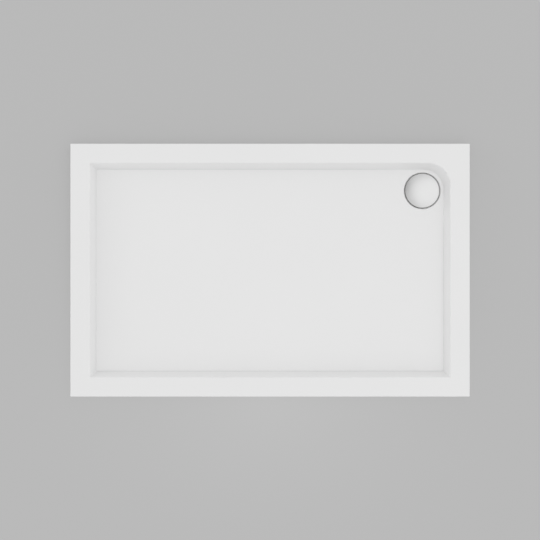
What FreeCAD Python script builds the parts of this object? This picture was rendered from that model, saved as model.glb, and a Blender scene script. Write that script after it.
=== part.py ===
"""Low shower tray with its waste: an acrylic sheet on a stone-resin core, and a 90 mm trap below.

The origin is the middle of the tray's underside, +Z is up and +X points to the waste's end.
The waste's pieces turn about a vertical axis near one corner, and its outlet lies along +X.
"""

import FreeCAD
import Part

import math
import os
import Sketcher
from FreeCAD import Vector

doc = FreeCAD.newDocument("ShowerTray")

NEAR = 1e-3
EDGE_POINTS = 9
LIP_FLATS = 3
THREAD_TURNS = 3

# ---------------------------------------------------------------- driving dimensions (millimetres)

SIZES = (
    # the tray
    ("tray_length", 1200.0, "length along X"),
    ("tray_width", 760.0, "width along Y"),
    ("tray_height", 40.0, "height of the rim above the floor"),
    ("cap_thickness", 3.0, "acrylic sheet"),
    ("mat_thickness", 1.5, "glass-fibre mat under the core"),
    ("rim_width", 58.0, "flat rim, from the edge to the dish"),
    ("wall_run", 17.5, "plan width of the dish's sloping wall"),
    ("dish_depth", 18.0, "rim to floor in the corner furthest from the waste"),
    ("floor_fall", 8.0, "fall of the floor from that corner to the waste"),
    ("rim_corner_radius", 66.0, "dish corner beside the waste, at the rim"),
    ("floor_corner_radius", 58.0, "dish corner beside the waste, at the floor"),
    ("corner_radius", 3.0, "upright outer corners of the tray"),
    ("edge_radius", 1.5, "outer edge of the rim"),
    ("lip_radius", 2.5, "inner edge of the rim"),
    # the waste's place and pocket
    ("waste_from_end", 140.0, "waste axis to the tray's end"),
    ("waste_from_side", 140.0, "waste axis to the tray's side"),
    ("pocket_radius", 55.0, "pocket round the cover"),
    ("pocket_depth", 5.0, "pocket below the floor"),
    ("pocket_edge_radius", 1.5, "upper edge of the pocket"),
    ("hole_radius", 45.0, "waste hole"),
    ("recess_radius", 62.0, "opening of the mat round the trap's collar"),
    # seals and flange
    ("flange_seal_thickness", 1.0, "washer under the flange"),
    ("gasket_thickness", 2.5, "washer under the tray"),
    ("gasket_inner_radius", 46.0, "bore of both washers"),
    ("flange_seal_radius", 52.0, "outside of the washer under the flange"),
    ("gasket_radius", 57.0, "outside of the washer under the tray"),
    ("flange_radius", 53.0, "outside of the flange"),
    ("flange_thickness", 1.5, "plate of the flange"),
    ("flange_bevel", 1.0, "bevel of the flange's outer and inner edge"),
    ("thread_radius", 42.5, "outside of the flange's threaded tube"),
    ("throat_radius", 39.5, "bore of the flange's tube"),
    ("ledge_radius", 36.5, "bore of the ledge that carries the insert"),
    ("ledge_depth", 13.0, "top of that ledge, below the tray"),
    ("ledge_thickness", 3.0, "the ledge"),
    ("thread_pitch", 3.0, "thread of the flange's tube"),
    ("thread_height", 0.8, "depth of that thread"),
    ("thread_flat", 0.3, "flat at the thread's crest and root"),
    ("thread_clearance", 0.25, "a thread to its mate"),
    ("notch_angle", 12.0, "one tool notch in the flange's throat, in degrees"),
    ("notch_depth", 1.8, "one notch, outwards"),
    ("notch_height", 3.0, "one notch, downwards"),
    ("notch_count", 4.0, "notches"),
    # trap body
    ("body_wall", 3.0, "wall of the trap"),
    ("body_radius", 48.0, "outside of the bowl"),
    ("collar_radius", 58.0, "collar under the gasket"),
    ("collar_thickness", 5.0, "the collar"),
    ("collar_slope", 3.5, "height of the slopes under the collar"),
    ("neck_depth", 17.0, "foot of the threaded neck, below the tray"),
    ("bowl_round", 18.0, "rounding of the bowl's bottom, outside"),
    ("water_seal", 50.0, "outlet's lowest point to the dip tube's end"),
    ("tube_to_bottom", 9.0, "dip tube's end to the bowl's bottom"),
    ("rib_count", 6.0, "stiffening ribs under the collar"),
    ("rib_thickness", 2.5, "one rib"),
    ("rib_height", 16.0, "one rib below the collar"),
    ("rib_reach", 5.0, "one rib out from the bowl"),
    # outlet and elbow
    ("outlet_depth", 38.0, "outlet's axis below the tray"),
    ("outlet_bore_radius", 18.0, "bore of the outlet and the elbow"),
    ("outlet_radius", 24.0, "outside of the outlet's socket"),
    ("outlet_reach", 66.0, "waste axis to the outlet's mouth"),
    ("socket_radius", 21.2, "bore of the outlet's socket"),
    ("socket_length", 14.0, "depth of the outlet's socket"),
    ("spigot_radius", 20.9, "outside of the elbow"),
    ("spigot_end_gap", 1.0, "elbow's end to the socket's bottom"),
    ("elbow_collar_radius", 23.6, "collar that the ring nut holds"),
    ("elbow_collar_thickness", 2.7, "that collar"),
    ("swivel_gap", 0.3, "clearance of what turns on the outlet"),
    ("bend_radius", 26.0, "middle line of the elbow's bend"),
    ("elbow_neck", 0.7, "ring nut to the elbow's bend"),
    ("elbow_arm", 8.0, "bend to the pipe socket"),
    ("pipe_radius", 20.0, "waste pipe"),
    ("pipe_clearance", 0.4, "gap round the pipe"),
    ("pipe_socket_radius", 25.0, "outside of the pipe socket"),
    ("pipe_socket_length", 26.0, "pipe socket"),
    ("pipe_stop", 4.0, "elbow's bore to the pipe's end stop"),
    ("cone_depth", 6.0, "cone of the pipe socket's mouth"),
    ("cone_width", 2.6, "widening of that cone"),
    ("cone_gap", 0.2, "cone seal to the cone"),
    ("cone_stand", 2.0, "cone seal beyond the mouth"),
    ("washer_margin", 0.5, "slip washer inside its socket's outline"),
    ("washer_thickness", 1.5, "slip washer"),
    # nuts
    ("nut_wall", 4.5, "wall of both nuts"),
    ("nut_lip", 3.0, "lip of both nuts"),
    ("nut_bevel", 1.5, "bevel round the lip"),
    ("swivel_nut_length", 12.0, "ring nut, over the outlet"),
    ("pipe_nut_length", 14.0, "compression nut, over its socket"),
    ("flute_count", 12.0, "finger flutes of a nut"),
    ("flute_radius", 3.0, "one flute"),
    ("flute_depth", 1.6, "one flute"),
    # insert
    ("insert_clearance", 0.5, "insert to the throat"),
    ("insert_wall", 2.5, "wall of the cup and the dip tube"),
    ("insert_top", 5.0, "insert's rim below the flange's top"),
    ("funnel_depth", 8.0, "funnel from the cup to the dip tube"),
    ("funnel_start", 4.0, "cup's foot to the funnel"),
    ("tube_radius", 24.0, "outside of the dip tube"),
    ("groove_top", 14.0, "groove's top below the insert's rim"),
    ("seal_section", 2.4, "thickness of the insert's O-ring"),
    ("seal_clearance", 0.3, "O-ring to the throat"),
    ("groove_clearance", 0.1, "O-ring to its groove"),
    ("handle_width", 7.0, "bar across the cup"),
    ("handle_thickness", 3.0, "the bar"),
    ("handle_drop", 9.0, "bar below the insert's rim"),
    ("ledge_clearance", 0.3, "insert to the ledge's bore"),
    ("elbow_seal_section", 1.6, "thickness of the elbow's O-ring"),
    ("elbow_seal_place", 6.0, "elbow's end to that O-ring"),
    # hair strainer
    ("strainer_radius", 38.5, "plate of the strainer"),
    ("strainer_thickness", 1.5, "the plate"),
    ("strainer_skirt", 4.5, "skirt that centres it in the cup"),
    ("skirt_clearance", 0.3, "skirt to the cup"),
    ("skirt_wall", 1.2, "the skirt"),
    ("hub_radius", 9.0, "hub of the strainer and of the cover's carrier"),
    ("hub_rise", 2.0, "hub above the plate"),
    ("peg_radius", 5.0, "carrier's peg"),
    ("peg_clearance", 0.3, "peg to the hub's bore"),
    ("peg_length", 6.0, "the peg"),
    ("inner_slots", 8.0, "slots of the inner ring"),
    ("outer_slots", 14.0, "slots of the outer ring"),
    ("slot_bar", 2.2, "bar between two slots"),
    ("slot_ring", 3.0, "ring between the rows of slots"),
    ("slot_margin", 2.0, "hub or skirt to the slots"),
    # cover
    ("cover_radius", 51.5, "dome"),
    ("cover_gap", 3.5, "flange to the dome's edge"),
    ("cover_skirt", 1.5, "upright edge of the dome"),
    ("cover_rise", 7.5, "crown above that edge"),
    ("cover_thickness", 1.0, "sheet of the dome"),
    ("bond_gap", 0.15, "adhesive between the dome and its carrier"),
    ("carrier_rim", 4.0, "ring of the carrier"),
    ("carrier_margin", 3.0, "dome's edge to that ring"),
    ("carrier_arms", 4.0, "arms of the carrier"),
    ("carrier_arm_width", 6.0, "one arm"),
    ("carrier_hub_margin", 3.0, "hub to the openings between the arms"),
)

sheet = doc.addObject("Spreadsheet::Sheet", "sizes")
for row, (alias, size, note) in enumerate(SIZES, start=1):
    sheet.set(f"A{row}", note)
    sheet.set(f"B{row}", str(size))
    sheet.setAlias(f"B{row}", alias)
doc.recompute()


def bound(text):
    """Expression with every alias of the sheet written as sizes.alias."""
    words = {alias for alias, _, _ in SIZES}
    out = ""
    word = ""
    for letter in text + " ":
        if letter.isalnum() or letter == "_":
            word += letter
        else:
            out += ("sizes." + word if word in words else word) + letter
            word = ""
    return out.strip()


def value(text):
    """Number that an expression of the sheet's aliases has now."""
    found = sheet.evalExpression(bound(str(text)))
    return float(getattr(found, "Value", found))


def bind(thing, **places):
    """Bind properties of an object, written with __ for a dot, to expressions."""
    for name, text in places.items():
        thing.setExpression(name.replace("__", "."), bound(str(text)))


# ---------------------------------------------------------------- levels and radii that follow

WASTE_X = "(tray_length / 2 - waste_from_end)"
WASTE_Y = "(tray_width / 2 - waste_from_side)"
RIM_X = "(tray_length / 2 - rim_width)"
RIM_Y = "(tray_width / 2 - rim_width)"
FLOOR_X = "(tray_length / 2 - rim_width - wall_run)"
FLOOR_Y = "(tray_width / 2 - rim_width - wall_run)"
HIGH_FLOOR = "(tray_height - dish_depth)"
POCKET_FLOOR = f"({HIGH_FLOOR} - floor_fall - pocket_depth)"
SEAL_TOP = f"({POCKET_FLOOR} + flange_seal_thickness)"
FLANGE_TOP = f"({SEAL_TOP} + flange_thickness)"
LEDGE_TOP = "(-ledge_depth)"
INSERT_TOP = f"({FLANGE_TOP} - insert_top)"
INSERT_RADIUS = "(throat_radius - insert_clearance)"
CUP_RADIUS = f"({INSERT_RADIUS} - insert_wall - seal_section)"
STRAINER_TOP = f"({INSERT_TOP} + strainer_thickness)"
HUB_TOP = f"({STRAINER_TOP} + hub_rise)"
STRAINER_FOOT = f"({INSERT_TOP} - strainer_skirt)"
COVER_FOOT = f"({FLANGE_TOP} + cover_gap)"
COVER_EDGE = f"({COVER_FOOT} + cover_skirt)"
TUBE_END = "(-outlet_depth - outlet_bore_radius - water_seal)"
BOWL_FLOOR = f"({TUBE_END} - tube_to_bottom)"
BOWL_BOTTOM = f"({BOWL_FLOOR} - body_wall)"
DOME_RADIUS = "((cover_radius ^ 2 + cover_rise ^ 2) / (2 * cover_rise))"
DOME_MIDDLE = f"({COVER_EDGE} + cover_rise - {DOME_RADIUS})"
CARRIER_RADIUS = "(cover_radius - cover_thickness - carrier_margin)"
GASKET_BOTTOM = "(mat_thickness - gasket_thickness)"
SKIRT_RADIUS = f"({CUP_RADIUS} - skirt_clearance)"
GROOVE_RADIUS = "(throat_radius - seal_clearance - seal_section - groove_clearance)"
ELBOW_START = "(outlet_reach - socket_length + spigot_end_gap)"
ELBOW_SEAL_X = f"({ELBOW_START} + elbow_seal_place)"
ELBOW_SEAL_RADIUS = "(socket_radius - swivel_gap - elbow_seal_section / 2)"
COLLAR_START = "(outlet_reach + swivel_gap)"
COLLAR_END = f"({COLLAR_START} + elbow_collar_thickness)"
RING_NUT_LIP = f"({COLLAR_END} + swivel_gap)"
BEND_X = f"({RING_NUT_LIP} + nut_lip + elbow_neck)"
ARM_X = f"({BEND_X} + bend_radius)"
SOCKET_START = "(bend_radius + elbow_arm)"
SOCKET_END = f"({SOCKET_START} + pipe_socket_length)"
WASHER_START = f"({SOCKET_END} + cone_stand)"
WASHER_END = f"({WASHER_START} + washer_thickness)"
PIPE_BORE = "(pipe_radius + pipe_clearance)"

# ---------------------------------------------------------------- helpers

PLANES = {"XY": "XY_Plane", "XZ": "XZ_Plane", "YZ": "YZ_Plane"}


def new_body(label):
    body = doc.addObject("PartDesign::Body", label)
    body.Label = label
    return body


def plane_of(body, plane):
    for item in body.Origin.OriginFeatures:
        if item.Role == PLANES[plane]:
            return item
    raise RuntimeError(f"no plane {plane} in {body.Label}")


def new_sketch(owner, name, plane):
    """Sketch on one of a body's own origin planes, or free in the document."""
    if owner is doc:
        return doc.addObject("Sketcher::SketchObject", name)
    sketch = owner.newObject("Sketcher::SketchObject", name)
    sketch.AttachmentSupport = [(plane_of(owner, plane), "")]
    sketch.MapMode = "FlatFace"
    return sketch


def draw_outline(sketch, corners):
    """Closed outline through corners (across, up), each held from the origin by bound distances.

    A corner with a third entry, (across, up, radius), ends an arc of that radius from the corner
    before it: a positive radius bulges to the right of the way drawn, a negative one to the left.
    """
    points = [Vector(value(corner[0]), value(corner[1]), 0) for corner in corners]
    for index, start in enumerate(points):
        ahead = corners[(index + 1) % len(corners)]
        end = points[(index + 1) % len(points)]
        if len(ahead) == 2:
            sketch.addGeometry(Part.LineSegment(start, end))
            continue
        radius = value(ahead[2])
        half = (end - start) * 0.5
        side = Vector(half.y, -half.x, 0).normalize() * math.copysign(1, radius)
        sagitta = abs(radius) - math.sqrt(radius ** 2 - half.Length ** 2)
        middle = start + half + side * sagitta
        ends = (start, end) if radius > 0 else (end, start)
        sketch.addGeometry(Part.Arc(ends[0], middle, ends[1]))
    count = len(corners)
    for index in range(count):
        ends = [(index, point_at(sketch, index, points[index]))]
        before = (index - 1) % count
        ends.append((before, point_at(sketch, before, points[index])))
        sketch.addConstraint(Sketcher.Constraint("Coincident", *ends[1], *ends[0]))
        for kind, text in (("DistanceX", corners[index][0]), ("DistanceY", corners[index][1])):
            hold(sketch, Sketcher.Constraint(kind, -1, 1, *ends[0], value(text)), text)
        if len(corners[index]) == 3:
            size = f"abs({corners[index][2]})"
            hold(sketch, Sketcher.Constraint("Radius", before, value(size)), size)


def point_at(sketch, index, place):
    """Which end, 1 or 2, of a sketch's line or arc lies at a place."""
    first = sketch.Geometry[index].StartPoint.distanceToPoint(place)
    second = sketch.Geometry[index].EndPoint.distanceToPoint(place)
    return 1 if first < second else 2


def hold(sketch, constraint, text):
    number = sketch.addConstraint(constraint)
    sketch.setExpression(f"Constraints[{number}]", bound(str(text)))


def draw_circle(sketch, across, up, radius):
    """Circle whose middle and radius are bound."""
    circle = Part.Circle(Vector(value(across), value(up), 0), Vector(0, 0, 1), value(radius))
    number = sketch.addGeometry(circle)
    hold(sketch, Sketcher.Constraint("DistanceX", -1, 1, number, 3, value(across)), across)
    hold(sketch, Sketcher.Constraint("DistanceY", -1, 1, number, 3, value(up)), up)
    hold(sketch, Sketcher.Constraint("Radius", number, value(radius)), radius)


def settle(body, feature, removes):
    """Make a feature the body's last one and check that it adds or takes away as it should."""
    before = 0.0 if body.Shape.isNull() else body.Shape.Volume
    body.Tip = feature
    doc.recompute()
    change = body.Shape.Volume - before
    if (change >= 0) if removes else (change <= 0):
        raise RuntimeError(f"{body.Label}: {feature.Label} changes the volume by {change:.3f}")
    return feature


def turned(body, name, corners, removes=False, angle=None):
    """Outline (radius, height) turned about the body's own Z, all round or through an angle."""
    sketch = new_sketch(body, name + "_outline", "XZ")
    draw_outline(sketch, corners)
    feature = body.newObject("PartDesign::Groove" if removes else "PartDesign::Revolution", name)
    feature.Profile = sketch
    feature.ReferenceAxis = (sketch, ["V_Axis"])
    feature.Angle = 360.0
    if angle is not None:
        feature.Midplane = True
        bind(feature, Angle=angle)
    return settle(body, feature, removes)


def turned_body(label, corners):
    """Body made of one turned outline."""
    body = new_body(label)
    turned(body, label + "_turn", corners)
    return body


def polar(body, feature, name, count, axis="V_Axis"):
    """Copies of a feature all round an axis of its own sketch."""
    removes = feature.TypeId in ("PartDesign::Groove", "PartDesign::Pocket")
    pattern = body.newObject("PartDesign::PolarPattern", name)
    pattern.Originals = [feature]
    pattern.Axis = (feature.Profile[0], [axis])
    pattern.Angle = 360.0
    bind(pattern, Occurrences=count)
    return settle(body, pattern, removes)


def sector_row(body, name, inner, outer, bottom, top, count, bar):
    """Row of openings round the body's axis, with bars of one width between their outer ends."""
    angle = f"360 deg / {count} - 2 * asin({bar} / 2 / ({outer}))"
    corners = [(inner, bottom), (outer, bottom), (outer, top), (inner, top)]
    first = turned(body, name, corners, removes=True, angle=angle)
    return polar(body, first, name + "_row", count)


def rod_x(body, name, radius, start, end, removes=False):
    """Round rod along the body's own X, added or taken away."""
    sketch = new_sketch(body, name + "_outline", "YZ")
    sketch.AttachmentOffset = FreeCAD.Placement(Vector(0, 0, value(start)), FreeCAD.Rotation())
    bind(sketch, AttachmentOffset__Base__z=start)
    draw_circle(sketch, "0", "0", radius)
    feature = body.newObject("PartDesign::Pocket" if removes else "PartDesign::Pad", name)
    feature.Profile = sketch
    feature.Reversed = removes
    bind(feature, Length=f"({end}) - ({start})")
    return settle(body, feature, removes)


def plate(body, name, plane, corners, thickness):
    """Pad of an outline, half its thickness to each side of one of the body's planes."""
    sketch = new_sketch(body, name + "_outline", plane)
    draw_outline(sketch, corners)
    feature = body.newObject("PartDesign::Pad", name)
    feature.Profile = sketch
    feature.Midplane = True
    bind(feature, Length=thickness)
    return settle(body, feature, False)


def put(thing, across="0", along="0", height="0", turn=None):
    """Place a piece from the waste's axis and the tray's underside, turned about an axis first."""
    if turn is not None:
        thing.Placement = FreeCAD.Placement(Vector(), FreeCAD.Rotation(*turn))
    bind(thing, Placement__Base__x=f"{WASTE_X} + {across}", Placement__Base__y=f"{WASTE_Y} + {along}",
         Placement__Base__z=height)
    return thing


def put_on_outlet(thing):
    """Turn a piece's own Z along +X, on the outlet's axis."""
    return put(thing, height="-outlet_depth", turn=(Vector(0, 1, 0), 90))


def put_on_arm(thing):
    """Turn a piece's own Z along -Y, on the axis of the elbow's arm."""
    return put(thing, across=ARM_X, height="-outlet_depth", turn=(Vector(1, 0, 0), 90))


# ---------------------------------------------------------------- the tray


def block(name, inset, bottom, drop):
    """Rectangular block, inset from the tray's sides, from a level up to a drop below the rim."""
    box = doc.addObject("Part::Box", name)
    bind(box, Length=f"tray_length - 2 * ({inset})", Width=f"tray_width - 2 * ({inset})",
         Height=f"tray_height - ({drop}) - ({bottom})",
         Placement__Base__x=f"({inset}) - tray_length / 2",
         Placement__Base__y=f"({inset}) - tray_width / 2", Placement__Base__z=bottom)
    return box


def dish_outline(name, half_x, half_y, radius):
    """Rectangle about the origin with one round corner, the one beside the waste."""
    sketch = new_sketch(doc, name, None)
    draw_outline(sketch, [
        (f"-({half_x})", f"-({half_y})"),
        (half_x, f"-({half_y})"),
        (half_x, f"{half_y} - {radius}"),
        (f"{half_x} - {radius}", half_y, radius),
        (f"-({half_x})", half_y),
    ])
    return sketch


def dish(name, drop):
    """Hollow between the rim's outline and the floor's, which tips towards the waste.

    The rim's inner edge is an arc drawn as a few flats: at a turn t from level, a point of it lies
    lip_radius * (tan(slope / 2) - sin(t)) outside the corner and lip_radius * (1 - cos(t)) below it.
    The floor is a plane. It falls by floor_fall along the straight line from the corner that is
    furthest from the waste to the waste's axis, so its slope along X and Y shares that fall.
    """
    slope = "atan(dish_depth / wall_run)"
    sections = []
    for step in range(LIP_FLATS + 1):
        turn = f"{slope} * {step} / {LIP_FLATS}"
        out = f"lip_radius * (tan({slope} / 2) - sin({turn}))"
        level = dish_outline(f"{name}_lip_{step}", f"({RIM_X} + {out})", f"({RIM_Y} + {out})",
                             f"(rim_corner_radius + {out})")
        bind(level, Placement__Base__z=f"tray_height - ({drop}) - lip_radius * (1 - cos({turn}))")
        sections.append(level)
    floor = dish_outline(name + "_floor", FLOOR_X, FLOOR_Y, "floor_corner_radius")
    run_x = f"({FLOOR_X} + {WASTE_X})"
    run_y = f"({FLOOR_Y} + {WASTE_Y})"
    run = f"sqrt({run_x} ^ 2 + {run_y} ^ 2)"
    fall = f"(floor_fall / {run})"
    middle = f"({HIGH_FLOOR} - ({drop}) - {fall} * ({run_x} * {FLOOR_X} + {run_y} * {FLOOR_Y}) / {run})"
    floor.setExpression("Placement", bound(
        f"placement(vector(0; 0; {middle}); rotation(vector(-1 * {run_y}; {run_x}; 0); atan({fall})))"))
    loft = doc.addObject("Part::Loft", name)
    loft.Sections = sections + [floor]
    loft.Solid = True
    loft.Ruled = True
    return loft


def waste_cylinder(name, radius, bottom, height):
    """Upright cylinder on the waste's axis."""
    cylinder = doc.addObject("Part::Cylinder", name)
    bind(cylinder, Radius=radius, Height=height)
    return put(cylinder, height=bottom)


def cut(name, base, tool):
    result = doc.addObject("Part::Cut", name)
    result.Base = base
    result.Tool = tool
    return result


def rounded(name, base, size, wanted):
    """Fillet of every edge of a shape that a test picks."""
    doc.recompute()
    edges = [number for number, edge in enumerate(base.Shape.Edges, start=1) if wanted(edge)]
    if not edges:
        raise RuntimeError(f"no edge for {name}")
    fillet = doc.addObject("Part::Fillet", name)
    fillet.Base = base
    fillet.Edges = [(number, value(size), value(size)) for number in edges]
    return fillet


def is_upright(edge):
    """Edge that runs straight up."""
    box = edge.BoundBox
    return box.XLength < NEAR and box.YLength < NEAR


def is_outer_rim(edge):
    """Edge of the rim's top that runs along the outside of the tray."""
    middle = edge.BoundBox.Center
    from_side = min(value("tray_length / 2") - abs(middle.x), value("tray_width / 2") - abs(middle.y))
    return middle.z > value("tray_height") - NEAR and from_side < value("corner_radius") + NEAR


def is_pocket_edge(edge):
    """Edge where the floor meets the pocket: at its radius from the waste's axis, above its bottom."""
    for point in edge.discretize(EDGE_POINTS):
        from_axis = math.hypot(point.x - value(WASTE_X), point.y - value(WASTE_Y))
        if abs(from_axis - value("pocket_radius")) > NEAR or point.z < value(POCKET_FLOOR) + NEAR:
            return False
    return not is_upright(edge)


def make_tray():
    """The sheet, the core and the mat: one form shared by all three.

    The core's top is the sheet's top moved down by the sheet's thickness, so that they meet face
    to face, and the sheet is what is left of the tray's form outside the core and the mat. The mat
    is open round the waste, so that the trap's gasket seals against the core and the tray can lie flat.
    """
    below_pocket = f"{POCKET_FLOOR} - cap_thickness"
    inner_block = block("inner_block", "cap_thickness", 0, "cap_thickness")
    inner_dished = cut("inner_dished", inner_block, dish("inner_dish", "cap_thickness"))
    inner_pocket = waste_cylinder("inner_pocket", "pocket_radius + cap_thickness", below_pocket,
                                  "tray_height")
    inner_form = cut("inner_form", inner_dished, inner_pocket)

    outer_block = block("outer_block", 0, 0, 0)
    outer_corners = rounded("outer_corners", outer_block, "corner_radius", is_upright)
    outer_dished = cut("outer_dished", outer_corners, dish("outer_dish", 0))
    eased = rounded("eased_edge", outer_dished, "edge_radius", is_outer_rim)
    pocket = waste_cylinder("pocket", "pocket_radius", POCKET_FLOOR, "tray_height")
    outer_sharp = cut("outer_sharp", eased, pocket)
    outer_form = rounded("outer_form", outer_sharp, "pocket_edge_radius", is_pocket_edge)

    hollow = cut("cap_hollow", outer_form, inner_form)
    cap = cut("acrylic_cap", hollow, waste_cylinder("cap_hole", "hole_radius", 0, "tray_height"))
    mat_block = block("mat_block", "cap_thickness", 0, "tray_height - mat_thickness")
    core_form = cut("core_form", inner_form, mat_block)
    core = cut("resin_core", core_form, waste_cylinder("core_hole", "hole_radius", 0, "tray_height"))
    mat = cut("base_mat", mat_block, waste_cylinder("mat_recess", "recess_radius", 0, "tray_height"))
    return [cap, core, mat]


# ---------------------------------------------------------------- seals and flange


def ring(label, inner, outer, bottom, top):
    """Flat ring about the piece's own Z."""
    return turned_body(label, [(inner, bottom), (outer, bottom), (outer, top), (inner, top)])


def o_ring(label, middle_radius, section):
    torus = doc.addObject("Part::Torus", label)
    torus.Label = label
    bind(torus, Radius1=middle_radius, Radius2=f"{section} / 2")
    return torus


def thread_corners(radius, bottom):
    """Outline of a few thread turns, upwards from a level: each turn is a groove with sloping sides."""
    corners = []
    for turn in range(THREAD_TURNS):
        foot = f"({bottom} + {turn} * thread_pitch)"
        corners.append((radius, foot))
        corners.append((f"{radius} - thread_height", f"{foot} + thread_pitch / 2 - thread_flat"))
        corners.append((f"{radius} - thread_height", f"{foot} + thread_pitch / 2"))
        corners.append((radius, f"{foot} + thread_pitch - thread_flat"))
    return corners


def make_flange():
    """Ring in the tray's pocket, with the threaded tube that draws the trap up and a ledge inside."""
    foot = f"({LEDGE_TOP} - ledge_thickness)"
    body = turned_body("waste_flange", [
        ("ledge_radius", foot),
        ("thread_radius", foot),
    ] + thread_corners("thread_radius", f"({foot} + thread_pitch / 2)") + [
        ("thread_radius", SEAL_TOP),
        ("flange_radius", SEAL_TOP),
        ("flange_radius", f"{FLANGE_TOP} - flange_bevel"),
        ("flange_radius - flange_bevel", FLANGE_TOP),
        ("throat_radius + flange_bevel", FLANGE_TOP),
        ("throat_radius", f"{FLANGE_TOP} - flange_bevel"),
        ("throat_radius", LEDGE_TOP),
        ("ledge_radius", LEDGE_TOP),
    ])
    notch = turned(body, "notch", [
        ("throat_radius - notch_depth", f"{FLANGE_TOP} - notch_height"),
        ("throat_radius + notch_depth", f"{FLANGE_TOP} - notch_height"),
        ("throat_radius + notch_depth", f"{FLANGE_TOP} + notch_height"),
        ("throat_radius - notch_depth", f"{FLANGE_TOP} + notch_height"),
    ], removes=True, angle="notch_angle")
    polar(body, notch, "notches", "notch_count")
    return put(body)


def make_seals():
    upper = ring("flange_seal", "gasket_inner_radius", "flange_seal_radius", POCKET_FLOOR, SEAL_TOP)
    lower = ring("body_gasket", "gasket_inner_radius", "gasket_radius", GASKET_BOTTOM, "mat_thickness")
    return [put(upper), put(lower)]


# ---------------------------------------------------------------- trap body


def make_trap_body():
    """Bowl with a threaded neck, a ribbed collar and a side outlet along X.

    Its own origin is on the outlet's axis, so levels are raised by outlet_depth.
    """
    body = new_body("trap_body")
    collar_foot = f"({GASKET_BOTTOM} - collar_thickness)"
    neck_bore = "(thread_radius + thread_clearance)"
    bore = "(body_radius - body_wall)"
    inner_round = "(bowl_round - body_wall)"

    def raised(corners):
        return [(corner[0], f"{corner[1]} + outlet_depth", *corner[2:]) for corner in corners]

    turned(body, "bowl", raised([
        ("0", BOWL_BOTTOM),
        ("body_radius - bowl_round", BOWL_BOTTOM),
        ("body_radius", f"{BOWL_BOTTOM} + bowl_round", "bowl_round"),
        ("body_radius", f"{collar_foot} - collar_slope"),
        ("collar_radius", collar_foot),
        ("collar_radius", GASKET_BOTTOM),
        ("0", GASKET_BOTTOM),
    ]))
    rod_x(body, "outlet", "outlet_radius", "0", "outlet_reach")
    rib = plate(body, "rib", "YZ", raised([
        (bore, f"{collar_foot} - rib_height"),
        ("body_radius", f"{collar_foot} - rib_height"),
        ("body_radius + rib_reach", f"{collar_foot} - collar_slope / 2"),
        ("body_radius + rib_reach", collar_foot),
        (bore, collar_foot),
    ]), "rib_thickness")
    polar(body, rib, "ribs", "rib_count")
    turned(body, "bowl_inside", raised([
        ("0", BOWL_FLOOR),
        (f"{bore} - {inner_round}", BOWL_FLOOR),
        (bore, f"{BOWL_FLOOR} + {inner_round}", inner_round),
        (bore, f"-neck_depth - {bore} + {neck_bore}"),
        (neck_bore, "-neck_depth"),
        (neck_bore, "mat_thickness"),
        ("0", "mat_thickness"),
    ]), removes=True)
    rod_x(body, "outlet_bore", "outlet_bore_radius", "0", "outlet_reach", removes=True)
    rod_x(body, "outlet_socket", "socket_radius", "outlet_reach - socket_length", "outlet_reach",
          removes=True)
    return put(body, height="-outlet_depth")


# ---------------------------------------------------------------- outlet elbow and its pipe joint


def make_elbow():
    """Elbow from the outlet, with its O-ring groove and collar, to a socket for the waste pipe."""
    groove = "elbow_seal_section / 2 + groove_clearance"
    inlet = turned_body("elbow_inlet", [
        ("outlet_bore_radius", ELBOW_START),
        ("spigot_radius", ELBOW_START),
        ("spigot_radius", f"{ELBOW_SEAL_X} - ({groove})"),
        (f"{ELBOW_SEAL_RADIUS} - ({groove})", f"{ELBOW_SEAL_X} - ({groove})"),
        (f"{ELBOW_SEAL_RADIUS} - ({groove})", f"{ELBOW_SEAL_X} + ({groove})"),
        ("spigot_radius", f"{ELBOW_SEAL_X} + ({groove})"),
        ("spigot_radius", COLLAR_START),
        ("elbow_collar_radius", COLLAR_START),
        ("elbow_collar_radius", COLLAR_END),
        ("spigot_radius", COLLAR_END),
        ("spigot_radius", BEND_X),
        ("outlet_bore_radius", BEND_X),
    ])
    arm = turned_body("elbow_arm_socket", [
        ("outlet_bore_radius", "bend_radius"),
        ("spigot_radius", "bend_radius"),
        ("spigot_radius", f"{SOCKET_START} - (pipe_socket_radius - spigot_radius)"),
        ("pipe_socket_radius", SOCKET_START),
        ("pipe_socket_radius", SOCKET_END),
        (f"{PIPE_BORE} + cone_width", SOCKET_END),
        (PIPE_BORE, f"{SOCKET_END} - cone_depth"),
        (PIPE_BORE, f"{SOCKET_START} + pipe_stop"),
        ("outlet_bore_radius", f"{SOCKET_START} + pipe_stop"),
    ])
    bends = []
    for name, radius in (("bend_outside", "spigot_radius"), ("bend_inside", "outlet_bore_radius")):
        torus = doc.addObject("Part::Torus", name)
        torus.Angle3 = 90.0
        bind(torus, Radius1="bend_radius", Radius2=radius)
        bends.append(put(torus, across=BEND_X, along="(-bend_radius)", height="-outlet_depth"))
    elbow = doc.addObject("Part::MultiFuse", "outlet_elbow")
    elbow.Shapes = [put_on_outlet(inlet), cut("bend", *bends), put_on_arm(arm)]
    seal = o_ring("elbow_seal", ELBOW_SEAL_RADIUS, "elbow_seal_section")
    put(seal, across=ELBOW_SEAL_X, height="-outlet_depth", turn=(Vector(0, 1, 0), 90))
    return [elbow, seal]


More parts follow.
